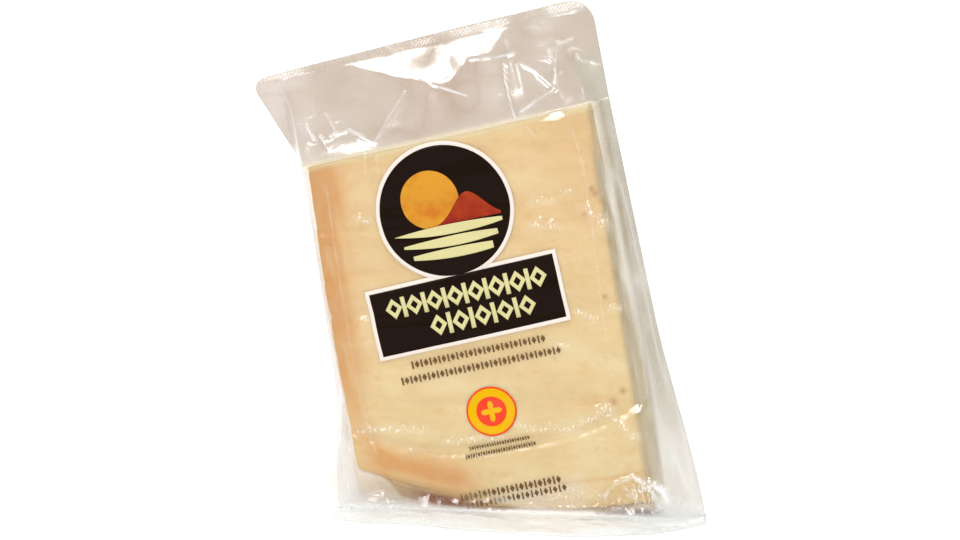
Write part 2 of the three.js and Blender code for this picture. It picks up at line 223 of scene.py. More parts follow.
def crags(a, b, phase):
    """Grooves of the broken surface: a bell-shaped groove along each wandering band."""
    depth = 0
    for at, deep, wide, fall, sag in CRAGS:
        wander = CRAG_WANDER * np.sin(a / CRAG_PITCH + at * phase)
        middle = at + fall * a + sag * (a / SAG_SPAN) ** 2 + wander
        depth = depth + deep * bell(b - middle, wide)
    return depth


def corner_inset(radius, from_top):
    rise = np.maximum(0, radius - from_top)
    return radius - np.sqrt(radius * radius - rise * rise)


def header_left(up):
    narrowed = mix(TOP_LEFT - WAIST, HEADER_LEFT, up ** HEADER_CURVE)
    return narrowed + corner_inset(LEFT_CORNER, (1 - up) * (HEADER - HEADER_DROOP))


def header_right(up):
    return POUCH_RIGHT - corner_inset(RIGHT_CORNER, (1 - up) * HEADER)


def header_b(a, up):
    leftward = (POUCH_RIGHT - a) / (POUCH_RIGHT - HEADER_LEFT)
    return HEADER_FOOT + up * (HEADER - TOP_TENT - HEADER_DROOP * leftward ** 2)


def fin_left(down):
    return mix(TOP_LEFT - WAIST, FOOT_LEFT.a, down ** FIN_CURVE)


def fin_right(down):
    return mix(POUCH_RIGHT, FOOT_RIGHT.a, smooth(down, *FIN_SPREADS))


def world(a, b, c):
    """Pack axes to x, y, z: a turn by LEAN_LEFT in the face's plane, then a lean back."""
    z = AXES_HEIGHT + a * SIN + b * COS
    return np.stack(np.broadcast_arrays(a * COS - b * SIN, c + z * math.tan(LEAN_BACK), z), -1)


# ================================ relief of the film ================================

# Folds in the free header: the points they run through, half width, height to the front, and how white they
# are painted, partly the stretched film's whitening and partly painted highlight.
HEADER_FOLDS = [
    (((5.4, 53.8), (12.5, 50.1), (19.8, 46.4)), 0.9, 0.5, 0.9),
    (((23.4, 61.1), (36.9, 59.7), (43.9, 59.8)), 0.9, 0.6, 0.8),
    (((38.6, 56.4), (37.9, 49.3), (38.4, 39.9), (39.2, 33.4)), 0.8, 0.9, 0.9),
    (((44.1, 55), (44.3, 49.8), (44.6, 44.6)), 1.2, 0.9, 1),
    (((45.6, 55), (51.2, 50.8), (54.8, 46), (58.4, 41.4)), 0.8, 0.8, 0.7),
    (((58.4, 41.4), (49.7, 38.1), (42.5, 35.3)), 1.1, 1.1, 1),
    (((58.3, 57.9), (58.5, 53.6)), 0.8, 0.6, 0.7),
    (((63.7, 60.2), (60.1, 49.8), (58.4, 42.3)), 0.9, 0.7, 0.5),
    (((64.2, 58.3), (70.1, 59.7)), 0.9, 0.8, 0.7),
    (((71.2, 53.5), (70.8, 50.7)), 0.8, 0.7, 0.7),
    (((60.1, 49.8), (60.3, 41.8), (61, 36.2)), 0.8, 0.6, 0.5),
    (((70.1, 38.9), (70.2, 34.7)), 0.8, 0.7, 0.6),
    (((41.1, 65.9), (41.8, 62.1)), 0.8, 0.6, 0.8),
    (((57.4, 70.8), (57.4, 68.9)), 0.8, 0.5, 0.5),
    (((-24.7, 34.8), (-16.3, 44.6), (-7.2, 53.5)), 0.9, 0.9, 0.6),
    (((-20.6, 38.1), (-9.7, 47.4)), 0.8, 0.6, 0.45),
    (((-43.4, 42.3), (-34.7, 43.2), (-24.8, 35.8)), 1.0, 1.0, 0.7),
    (((-53.4, 49), (-50.9, 42)), 1.0, 0.9, 0.9),
    (((-44.3, 52.6), (-40.7, 44.6)), 0.9, 0.8, 0.6),
    (((-48.1, 43.4), (-44.9, 36.7)), 0.9, 0.8, 0.5),
    (((-60.1, 49), (-50.1, 52.8)), 0.9, 0.6, 0.4),
    (((-49.3, 58.7), (-48.8, 51.9)), 0.9, 0.5, 0.4),
]
# Folds of the film on the chunk's face, the same four facts each.
FACE_FOLDS = [
    (((62, 29), (64, 9), (63, -11), (60.5, -40), (59, -53.5), (57, -86)), 0.8, 0.35, 0.45),
    (
        ((-49.5, 22), (-51.5, -1), (-53.5, -26), (-55.5, -53.5), (-57, -77), (-55, -103.5)),
        0.8, 0.35, 0.35,
    ),
    (((-29, 31.5), (-30.5, 24)), 0.8, 0.4, 0.5),
    (((-23.5, 30.5), (-25, 24), (-26, 15)), 0.8, 0.4, 0.5),
    (((43, 29), (46, 24)), 0.8, 0.4, 0.5),
    (((38, -97), (56, -99.5)), 1.2, -0.5, 0.1),
]
# Small facets of the face's film that lean back: middle, half sizes and slope.
FACE_FACETS = [
    (53.5, 29.8, 8, 3.2, 0.27), (51.7, -58.6, 2.8, 1.3, 0.31),
    (-37, 3.5, 2.5, 1, 0.28), (13, -101, 2.5, 1, 0.34),
]
# The crumpled corner at the lower right; the white of its folds is partly painted highlight.
CORNER_FOLDS = [
    (((42, -141), (48, -136), (57, -134.5), (64, -139), (70, -145)), 1.3, 1.0, 0.9),
    (((70, -145.5), (64, -148), (57, -145), (52, -139)), 1.2, 0.8, 0.8),
    (((34, -150), (41, -148), (48, -146)), 1.6, 0.9, 0.9),
    (((58, -136), (62, -141), (66, -146)), 1.6, 0.9, 1),
    (((48, -146), (54, -143), (60, -140)), 1.0, 0.7, 0.6),
    (((44, -139), (42.5, -143)), 1.3, 0.5, 0.7),
    (((69, -142), (67, -146), (63, -149)), 1.6, 0.8, 1),
    (((65, -139), (69.5, -142), (70, -146)), 2.6, 0.3, 1),
]
KNOT = SimpleNamespace(a=60, b=-141.5, half_a=10, half_b=6)
# Lines along which the film is gathered: their points, how many gathers and how far they stray.
PUCKERS = [
    (((38, -4), (48, -6)), 6, 0.7), (((36, -14.5), (47.5, -16.5)), 9, 1.0),
    (((62, -12), (68, -20)), 12, 1.6), (((52, -2), (56, -3)), 3, 0.8),
    (((48, -56), (55, -61)), 7, 0.9), (((63.5, -57), (66, -58)), 2, 0.4),
    (((36, -69), (40, -70)), 2, 0.6), (((-40, 5), (-34, 2.5)), 3, 0.6),
    (((11, -101), (18.5, -105), (27, -105), (33.5, -107.5), (45, -104), (53, -100.5)), 22, 1.2),
    (((52, -104), (57.5, -111), (61, -117)), 7, 1.4),
    (((-61, -90), (-52, -91), (-44, -93), (-31, -95.5)), 13, 1.5),
    (((-42, -103), (-37, -103.5)), 4, 0.5), (((-24, -102.5), (-10, -104), (2, -105.5)), 12, 0.9),
    (((-48, -40), (-45, -41)), 2, 0.6), (((20, -137), (40, -140)), 7, 1.5),
]
GATHER = SimpleNamespace(wide=0.95, long=1.7, high=0.6)
# The header leans back from the seam to a crease, given by its points, then as one facet up
# to FACET_TOP, and more upright to the seal.
FACET_CREASE = (
    (-34, 70.5), (-29, 70.3), (-16, 64), (-10, 60.6), (-1, 57), (7, 52), (14, 53.5), (23, 61),
    (34, 62), (38, 66), (41, 70.5),
)
HEADER_BACK, HEADER_ENDS = 14.5, 17.2      # depth at FACET_TOP, in the middle and at both ends
HEADER_MIDDLE, HEADER_OUT = 5, (36, 58)    # a of the middle, and how far off the ends begin
FACET_TOP, FACET_LEAN, SEAL_LEAN = 70.5, 0.24, 0.17
# Waves of the film and sizes of the cheese's crumb: height in mm, or share, pitch and seed.
HEADER_SLOW, HEADER_QUICK = (0.7, 23, 3), (0.17, 8, 4)
FACE_SLOW, FACE_QUICK, BACK_SLOW = (0.2, 13, 11), (0.06, 4.5, 12), (0.2, 11, 15)
SKIRT_SLOW, SKIRT_QUICK, SKIRT_CREST = (1.3, 22, 31), (0.3, 5, 33), 0.8
CRUMB = ((0.5, 7, 41), (0.3, 3, 42), (0.3, 1.6, 43))
# Crumpled places of the header: a, b and radius. HEADER_FOLD is the share of a fold's height
# and width that takes shape there, and WHITE_WIDTH the share of any fold's width that is white.
HEADER_KNOTS = ((-47, 45, 9), (65, 51, 10))
HEADER_FOLD, KNOT_HEIGHT, WHITE_WIDTH = (0.4, 0.7), 0.8, 0.6
FIN_HEIGHT, FIN_STRETCH, FIN_PITCH = (0.08, 0.5), (20, 90), 4.2   # fin folds, growing on the way down
TENT_HOLLOW, WALL_HOLLOW = 1.6, 1.3        # powers that bend the film where it bridges a corner


def gather_spots():
    """Place and size of every gather along the pucker lines, drawn once."""
    draw = np.random.default_rng(61)
    spots = []
    for points, count, stray in PUCKERS:
        knots = np.linspace(0, 1, len(points))
        along = (np.arange(count) + draw.uniform(0, 1, count)) / count
        a = np.interp(along, knots, [p[0] for p in points]) + draw.normal(0, 0.3, count)
        b = np.interp(along, knots, [p[1] for p in points]) + draw.normal(0, stray, count)
        spots.append(np.stack([a, b, draw.uniform(0.6, 1.25, count)], -1))
    return np.concatenate(spots)


GATHERS = gather_spots()


def gathers(a, b):
    """Small upright folds: the sum of bells narrow in a and longer in b."""
    total = 0
    for spot_a, spot_b, size in GATHERS:
        away = np.hypot((a - spot_a) / GATHER.wide, (b - spot_b) / GATHER.long)
        total = total + size * bell(away, size)
    return total


def puckers(a, b):
    """How finely puckered the film is near the gathers, 0 to 1."""
    return np.clip(sum(fold(a, b, points, 1.4 + stray) for points, _, stray in PUCKERS), 0, 1)


def header_form(a, b):
    """Depth of the header behind the seam: straight to the crease, then at FACET_LEAN."""
    foot, low = HEADER_FOOT, seam_line(a)
    crease = np.interp(a, [p[0] for p in FACET_CREASE], [p[1] for p in FACET_CREASE])
    back = mix(HEADER_BACK, HEADER_ENDS, smooth(np.abs(a - HEADER_MIDDLE), *HEADER_OUT))
    at_crease = back - FACET_LEAN * (FACET_TOP - crease)
    straight = mix(low, at_crease, np.clip((b - foot) / (crease - foot), 0, 1))
    facet = FACET_LEAN * np.clip(b - crease, 0, FACET_TOP - crease)
    return straight + facet + SEAL_LEAN * np.maximum(0, b - FACET_TOP) - low


def header_relief(a, b):
    """Free film: leaning back, with slow waves, and folds and knots that stand forward."""
    free = smooth(b, HEADER_FOOT, HEADER_FOOT + 8)
    fade = 1 - smooth(b, CHUNK_TOP + HEADER - 7, CHUNK_TOP + HEADER - 1)
    depth = header_form(a, b) + (waves(a, b, *HEADER_SLOW) + waves(a, b, *HEADER_QUICK) * fade) * free
    tall, wide = HEADER_FOLD
    for points, width, height, _ in HEADER_FOLDS:
        depth = depth - tall * height * fold(a, b, points, wide * width) * free
    knots = sum(bell(np.hypot(a - at_a, b - at_b), size) for at_a, at_b, size in HEADER_KNOTS)
    return depth - KNOT_HEIGHT * knots * ridged(a, b, 6, 5) * free


def fin_relief(a, b, web):
    """Side fins: folds that run down the fin, strongest halfway out and towards the foot."""
    height = mix(*FIN_HEIGHT, smooth(-b, *FIN_STRETCH))
    return waves(a, b / 9, height, FIN_PITCH, 7) * np.sin(math.pi * web)


def corner_relief(a, b):
    """Heights of the crumpled corner."""
    return sum(height * fold(a, b, points, width) for points, width, height, _ in CORNER_FOLDS)


def face_relief(a, b):
    """Film on the chunk's front: it follows the broken bands, with folds and gathers."""
    depth = crags(a, b, 1) + waves(a, b, *FACE_SLOW) + waves(a, b, *FACE_QUICK)
    for points, width, height, _ in FACE_FOLDS:
        depth = depth - height * fold(a, b, points, width)
    for middle_a, middle_b, half_a, half_b, lean in FACE_FACETS:
        reach = half_b * mix(0.4, 1, smooth(a, middle_a - half_a, middle_a + half_a / 2))
        window = np.exp(-((a - middle_a) / half_a) ** 8 - ((b - middle_b) / reach) ** 8)
        depth = depth + lean * (b - middle_b) * window
    return depth - corner_relief(a, b) - GATHER.high * gathers(a, b)


def back_relief(a, b):
    return crags(a, b, 2) + waves(a, b, *BACK_SLOW)


# ================================ grids ================================

def rounding(radius, tent, wall, arc):
    """Steps from the seam up the chunk's side and over its rounded edge: how far inside the
    side they lie and how far they are lifted. The wall is a hollow curve, the edge an arc."""
    share = radius / (RIND_DEPTH / 2)
    rise = np.linspace(0, 1, wall, endpoint=False)
    turn = np.linspace(0, math.pi / 2, arc)
    inside = np.concatenate([-tent * (1 - rise) ** TENT_HOLLOW, radius * (1 - np.cos(turn))])
    wall_lift = rise ** (WALL_HOLLOW if tent else 1) * (1 - share)
    lift = np.concatenate([wall_lift, 1 - share * (1 - np.sin(turn))])
    return inside, lift


def make_columns(skin, web, wall, arc, face):
    """Columns across the pouch. web is 1 at the free edge and 0 at the chunk, and across
    runs from 0 at the chunk's left side to 1 at its right side."""
    sides = []
    for tent in skin.tents:
        inside, lift = rounding(skin.radius, tent, wall, arc)
        sides.append({
            "web": np.concatenate([web, 0 * inside]),
            "inside": np.concatenate([0 * web - tent, inside]),
            "lift": np.concatenate([0 * web, lift]),
        })
    middle = np.linspace(0, 1, face + 1)[1:-1]
    flat = {"web": 0 * middle, "inside": skin.radius + 0 * middle, "lift": 1 + 0 * middle}
    columns = SimpleNamespace(**{
        key: np.concatenate([sides[0][key], flat[key], sides[1][key][::-1]]) for key in flat
    })
    none = 0 * sides[0]["web"]
    columns.right = np.concatenate([none, 0 * middle, none + 1])
    columns.across = np.concatenate([none, middle, none + 1])
    return columns


def crossings(columns, left, right, b_of, left_edge, right_edge):
    """a and b where the columns cross a row: straight between the chunk's sides left and
    right, then out along the fins to the free edges."""
    a = mix(left + columns.inside, right - columns.inside, columns.across)
    edge_a = mix(left_edge[0], right_edge[0], columns.right)
    edge_b = mix(left_edge[1], right_edge[1], columns.right)
    return mix(a, edge_a, columns.web), mix(b_of(a), edge_b, columns.web)


def chunk_crossings(columns, skin, b_of, t, down):
    """Crossings of rows over the chunk, t of the way down its sides."""
    left_edge = (fin_left(down), mix(CHUNK_TOP, FOOT_LEFT.b, down))
    right_edge = (fin_right(down), mix(CHUNK_TOP, FOOT_RIGHT.b, down))
    left, right = chunk_left(t) + skin.gap, chunk_right(t) - skin.gap
    return crossings(columns, left, right, b_of, left_edge, right_edge)


def seam(columns, skin, a, b, down, relief, front):
    """The surface where both sheets meet, half the film's thickness to front or back. Over
    SEAM_FORWARD it is drawn forward to the skirt."""
    foot = mix(FOOT_DEPTH, mix(FOOT_LEFT.c, FOOT_RIGHT.c, columns.right), columns.web)
    forward = smooth(down, *SEAM_FORWARD)
    if skin.gap:
        depth = np.maximum(mix(chunk_depth(a) / 2, foot, forward), skin.radius)
        return world(a, b - TOP_FALL * depth * (1 - smooth(down, *TOP_EASES)), depth)
    depth = mix(seam_line(a), foot, forward)
    points = world(a, b, depth + relief + (-FILM / 2 if front else FILM / 2))
    points[..., 2] = np.maximum(points[..., 2], FILM if front else 0)
    return points


def blend(low, full, lift):
    return low + (full - low) * lift[..., None]


def side_lift(columns, skin, a, down, front):
    """Lift of the columns. Behind the seam the wall is deeper than the half depth that the
    steps were made for, so its share grows and the rounded edge keeps its radius."""
    lift = columns.lift + 0 * a
    if front:
        return lift
    seam_depth = chunk_depth(a) / 2
    if not skin.gap:
        seam_depth = mix(seam_line(a), FOOT_DEPTH, smooth(down, *SEAM_FORWARD))
    share, own = skin.radius / (RIND_DEPTH / 2), skin.radius / (chunk_depth(a) - seam_depth)
    return np.where(lift < 1 - share, lift / (1 - share) * (1 - own), 1 - (1 - lift) * own / share)


def header_rows(columns, skin, up, front):
    """Rows of the free header, from 1 at its top edge down to 0 at the chunk."""
    up = up[:, None]
    left = mix(TOP_LEFT, HEADER_LEFT + TAPER_LEFT, up)
    right = mix(TOP_RIGHT, POUCH_RIGHT - TAPER_RIGHT, up)
    left_edge = (header_left(up), header_b(header_left(up), up))
    right_edge = (header_right(up), header_b(header_right(up), up))
    a, b = crossings(columns, left, right, lambda at: header_b(at, up), left_edge, right_edge)
    return seam(columns, skin, a, b, 0, header_relief(a, b), front), a, b


def top_rows(columns, skin, steps, front, relief):
    """Rows over the chunk's upper edge, from the header's foot to the face. Behind the seam
    they run down the top's slope."""
    inside, lift = steps[0][:, None], steps[1][:, None]
    down = np.maximum(0, inside) / (CHUNK_TOP + AXES_HEIGHT)
    top = CHUNK_TOP - skin.gap
    a, b = chunk_crossings(columns, skin, lambda at: top - inside + 0 * at, 0.0, down)
    low = seam(columns, skin, a, b, 0, 0, front)
    depth = relief(a, b) + skin.gap
    full_c = depth if front else chunk_depth(a) - depth
    full = world(a, b - TOP_FALL * full_c * (not front), full_c)
    return blend(low, full, lift * side_lift(columns, skin, a, down, front)), a, b


def front_path(skin, a, b, along, relief):
    """Down the front face, and for the cheese on round its lower edge in a quarter turn."""
    depth = relief(a, b) + skin.gap
    if not skin.turn:
        return world(a, b, depth)
    angle = np.clip((along - 1 + skin.turn) / skin.turn, 0, 1) * math.pi / 2
    behind = skin.rise * (1 - np.cos(angle))
    low = underside(a, behind) + skin.gap + skin.rise * (1 - np.sin(angle))
    return world(a, np.where(angle > 0, level_b(a, low), b), depth + behind)


def back_path(skin, a, along, relief):
    """Down the back, round the lower back edge and forward under the base."""
    wall_end, turn_end = 0.62, 0.68
    depth = chunk_depth(a) - skin.gap
    low = underside(a, depth) + skin.gap
    fall = np.clip(along / wall_end, 0, 1)
    high = CHUNK_TOP - skin.gap - skin.top - TOP_FALL * depth
    wall_b = mix(high, level_b(a, low + BASE_RADIUS), fall)
    wall_c = depth - relief(a, wall_b) * (1 - smooth(fall, 0.9, 1))
    angle = np.clip((along - wall_end) / (turn_end - wall_end), 0, 1) * math.pi / 2
    forward = np.clip((along - turn_end) / (1 - turn_end), 0, 1)
    round_c = depth - BASE_RADIUS * (1 - np.cos(angle))
    front_end = skin.gap + (skin.rise if skin.turn else FILM)
    c = np.where(along < wall_end, wall_c, mix(round_c, front_end, forward ** 0.7))
    low = underside(a, c - skin.gap) + skin.gap
    b = np.where(along < wall_end, wall_b, level_b(a, low + BASE_RADIUS * (1 - np.sin(angle))))
    return world(a, b, c)


def face_rows(columns, skin, along, front, relief):
    """Rows down the chunk. The front ones end above its underside, and the back ones run
    on under its base."""
    along = along[:, None]
    start = skin.top / (CHUNK_TOP + AXES_HEIGHT)
    down = mix(start, FACE_END, along)
    fall = np.clip(along / (1 - skin.turn), 0, 1)
    high = CHUNK_TOP - skin.gap - skin.top
    lowest = skin.gap + skin.rise
    a, b = chunk_crossings(
        columns, skin, lambda at: mix(high, level_b(at, underside(at) + lowest), fall), along, down
    )
    flat = between(down, (0.01, 0.08), (0.9, 1))
    low = seam(columns, skin, a, b, down, fin_relief(a, b, columns.web) * flat, front)
    full = front_path(skin, a, b, along, relief) if front else back_path(skin, a, along, relief)
    return blend(low, full, side_lift(columns, skin, a, down, front)), a, b


def crease_on_floor(columns, front):
    """The crease where the film turns from standing to lying on the floor."""
    finless = SimpleNamespace(**{**vars(columns), "web": 0 * columns.web})
    a, _ = chunk_crossings(finless, FILM_SKIN, lambda at: at, 1.0, 1.0)
    edge_a = mix(FOOT_LEFT.a, FOOT_RIGHT.a, columns.right)
    edge_c = mix(FOOT_LEFT.c, FOOT_RIGHT.c, columns.right)
    b = mix(level_b(a, 0), level_b(edge_a, 0), columns.web)
    a = mix(a, edge_a, columns.web)
    points = world(a, b, mix(FOOT_DEPTH, edge_c, columns.web))
    points[..., 2] = FILM if front else 0
    points[..., 1] += -FILM / 2 if front else FILM / 2
    return points


def foot_rows(columns, last, last_a, along, front):
    """Rows from the chunk's foot down to the crease on the floor, a hollow curve. The front
    ones hang slack in pleats, but are taut over the undercut, and end in the crumpled corner."""
    along = along[:, None]
    end = crease_on_floor(columns, front)
    points = blend(np.repeat(last[None], len(along), 0), end, along + 0 * last[:, 0])
    points[..., 2] = mix(last[:, 2], end[:, 2], along ** (0.6 if front else 1))
    if front:
        slack = np.sin(math.pi * along) * smooth(columns.lift, 0, 0.3)
        taut = 0.8 * bell(last_a + 28, 14)
        pleats = ridged(points[..., 0], points[..., 2] / 3, 7, 21) * (1 - taut)
        corner = corner_relief(last_a, level_b(last_a, points[..., 2]))
        points[..., 1] -= slack * pleats + (corner - 1.0 * along * slack) * (1 - along)
    return points


def skirt_rows(columns, along, front):
    """Rows out over the floor to the free edge, with low waves. The edge runs forward as a
    power curve, and past SKIRT_TURN of its length it is cut back towards the right."""
    start = crease_on_floor(columns, front)
    across = (start[:, 0] - start[0, 0]) / (start[-1, 0] - start[0, 0])
    cut = np.maximum(0, across - SKIRT_TURN) / (1 - SKIRT_TURN)
    free = SKIRT_CUT * cut ** 1.5 - SKIRT_LEFT - SKIRT_GROWTH * across ** 0.6
    along = along[:, None]
    points = np.repeat(start[None], len(along), 0)
    points[..., 1] = mix(start[:, 1], free, along)
    x, y = points[..., 0], points[..., 1]
    wave = SKIRT_SLOW[0] + waves(x, y, *SKIRT_SLOW) + SKIRT_QUICK[0] + waves(x, y, *SKIRT_QUICK)
    wave = wave + SKIRT_CREST * ridged(x + y, y * 2.5, 12, 32)
    points[..., 2] += wave * smooth(along, 0, 0.5) * (1 - 0.5 * smooth(along, 0.8, 1))
    return points


# ================================ meshes ================================

def sheets_mesh(name, front, back):
    """One closed mesh from two grids of points, joined along all four sides."""
    tall, wide = front.shape[:2]
    points = np.concatenate([front.reshape(-1, 3), back.reshape(-1, 3)])
    j, i = np.meshgrid(np.arange(tall - 1), np.arange(wide - 1), indexing="ij")
    at, step = (j * wide + i).ravel(), tall * wide
    down, along = np.arange(tall - 1) * wide, np.arange(wide - 1)
    right, low = down + wide - 1, (tall - 1) * wide + along
    behind = at + step
    corners = [
        (at, at + wide, at + wide + 1, at + 1),
        (behind, behind + 1, behind + wide + 1, behind + wide),
        (down, down + step, down + wide + step, down + wide),
        (right, right + wide, right + wide + step, right + step),
        (along, along + 1, along + 1 + step, along + step),
        (low, low + step, low + 1 + step, low + 1),
    ]
    return quads_object(name, points, np.concatenate([np.stack(four, -1) for four in corners]))


def grid_faces(tall, wide, count=1):
    """Faces of count grids of points that follow each other."""
    j, i, k = np.meshgrid(np.arange(tall - 1), np.arange(wide - 1), np.arange(count), indexing="ij")
    at = (k * tall * wide + j * wide + i).ravel()
    return np.stack([at, at + wide, at + wide + 1, at + 1], -1)


def quads_object(name, points, faces):
    """A smooth object in metres from points in millimetres and faces of four corners."""
    mesh = bpy.data.meshes.new(name)
    mesh.vertices.add(len(points))
    mesh.vertices.foreach_set("co", ((points + SHIFT) * MM).ravel().astype(np.float32))
    mesh.loops.add(faces.size)
    mesh.loops.foreach_set("vertex_index", faces.ravel().astype(np.int32))
    mesh.polygons.add(len(faces))
    mesh.polygons.foreach_set("loop_start", np.arange(0, faces.size, 4, dtype=np.int32))
    mesh.update(calc_edges=True)
    mesh.shade_smooth()
    piece = bpy.data.objects.new(name, mesh)
    bpy.context.collection.objects.link(piece)
    return piece


def paint(piece, key, values, behind=None):
    """Stores a value or a colour for each point, the same on both sheets unless the one
    behind is given its own."""
    both = np.asarray([values, values if behind is None else behind], np.float32)
    colour = both.ndim == 4
    layer = piece.data.attributes.new(key, "FLOAT_COLOR" if colour else "FLOAT", "POINT")
    layer.data.foreach_set("color" if colour else "value", both.ravel())


def paint_uv(piece, u, v):
    flat = np.stack([u.ravel(), v.ravel()], -1)
    flat = np.concatenate([flat, flat])
    index = np.zeros(len(piece.data.loops), np.int32)
    piece.data.loops.foreach_get("vertex_index", index)
    layer = piece.data.uv_layers.new(name="pack")
    layer.data.foreach_set("uv", flat[index].ravel().astype(np.float32))


def merge_doubles(piece, distance=0.002):
    """Joins points that coincide, such as poles and the line where two grids meet."""
    work = bmesh.new()
    work.from_mesh(piece.data)
    bmesh.ops.remove_doubles(work, verts=work.verts, dist=distance * MM)
    work.to_mesh(piece.data)
    work.free()


# ================================ materials ================================

def linear(code, alpha=1.0):
    """sRGB hex to linear colour."""
    channels = [int(code[i:i + 2], 16) / 255 for i in (1, 3, 5)]
    return (*(c / 12.92 if c <= 0.04045 else ((c + 0.055) / 1.055) ** 2.4 for c in channels), alpha)


def add(material, kind, inputs=None, **settings):
    """Adds a node. inputs gives each socket a value, the socket that feeds it, or the node
    whose first output feeds it."""
    made = material.node_tree.nodes.new("ShaderNode" + kind)
    for key, value in settings.items():
        setattr(made, key, value)
    for key, value in (inputs or {}).items():
        value = value.outputs[0] if isinstance(value, bpy.types.Node) else value
        if isinstance(value, bpy.types.NodeSocket):
            material.node_tree.links.new(value, made.inputs[key])
        else:
            made.inputs[key].default_value = value
    return made


def blank(name):
    material = bpy.data.materials.new(name)
    material.use_nodes = True
    material.node_tree.nodes.clear()
    return material


def ramp(material, source, stops):
    """A colour ramp through (place, colour) stops."""
    made = add(material, "ValToRGB", {"Fac": source})
    elements = made.color_ramp.elements
    while len(elements) < len(stops):
        elements.new(0.5)
    for element, (place, colour) in zip(elements, stops):
        element.position, element.color = place, linear(colour)
    return made


def barrier_film():
    """Polyamide and polyethylene barrier film, blown thin and clear, sealed under vacuum: it scatters a
    little warm light, whitens where it is folded, and its wrinkles give small sharp highlights. Glints
    where it is gathered are painted in white, and its painted tint holds painted shade and painted
    highlights in places."""
    m = blank("clear_barrier_film")
    at = add(m, "TexCoord").outputs["Object"]
    uv = add(m, "UVMap", uv_map="pack")
    tint = add(m, "Attribute", attribute_name="tint")
    haze, pucker_and_glints, seal = (
        add(m, "Attribute", attribute_name=key).outputs["Fac"] for key in ("haze", "pucker_and_glints", "seal")
    )

    # Seal bars press a diagonal hatch of 1.1 mm, whose ridges scatter more light than the film between
    # them. Where the film is gathered, glints of about 1 by 2 mm are painted in white.
    turned = add(m, "Mapping", {"Vector": uv, "Rotation": (0, 0, math.radians(50))})
    hatch = add(m, "TexWave", {"Vector": turned, "Scale": 28.0}, bands_direction="X")
    pressed = add(m, "Math", {0: hatch.outputs["Fac"], 1: seal}, operation="MULTIPLY")
    upright = add(m, "Mapping", {"Vector": uv, "Scale": (1, 0.45, 1)})
    tight = add(m, "TexNoise", {"Vector": upright, "Scale": 95.0, "Detail": 1.0})
    crowd = add(m, "Math", {0: pucker_and_glints, 1: 0.22, 2: tight}, operation="MULTIPLY_ADD")
    speck = add(m, "MapRange", {"Value": crowd, "From Min": 0.71, "From Max": 0.77})
    painted_glints = add(m, "Math", {0: speck, 1: pucker_and_glints}, operation="MULTIPLY")
    white = add(m, "Math", {0: pressed, 1: 0.3, 2: painted_glints}, operation="MULTIPLY_ADD", use_clamp=True)
    colour = add(m, "Mix", {0: white, 6: tint, 7: linear("#fffaf2")}, data_type="RGBA")

    fine = add(m, "TexNoise", {"Vector": at, "Scale": 420.0, "Detail": 2.0})
    shaped = add(m, "Math", {0: fine, 1: pucker_and_glints}, operation="MULTIPLY")
    slack = add(m, "TexNoise", {"Vector": at, "Scale": 90.0, "Detail": 3.0, "Distortion": 0.6})
    loose = add(m, "Math", {0: slack, 1: 0.35, 2: shaped}, operation="MULTIPLY_ADD")
    height = add(m, "Math", {0: pressed, 1: 0.1, 2: loose}, operation="MULTIPLY_ADD")
    bump = add(m, "Bump", {"Height": height, "Strength": 0.5, "Distance": 0.0012})

    body = add(m, "BsdfPrincipled", {
        "Base Color": colour.outputs[2], "Roughness": 0.2, "IOR": 1.6, "Normal": bump,
        "Coat Weight": 1.0, "Coat Roughness": 0.12, "Coat IOR": 1.6, "Coat Normal": bump,
    })
    clear = add(m, "BsdfTransparent", {"Color": (0.985, 0.98, 0.97, 1)})
    rim = add(m, "LayerWeight", {"Blend": 0.2}).outputs["Facing"]
    dense = add(m, "Math", {0: white, 1: 0.6, 2: haze}, operation="MULTIPLY_ADD")
    edge = add(m, "Math", {0: rim, 1: 0.3, 2: dense}, operation="MULTIPLY_ADD", use_clamp=True)
    both = add(m, "MixShader", {"Fac": edge, 1: clear, 2: body})
    add(m, "OutputMaterial", {"Surface": both})
    return m


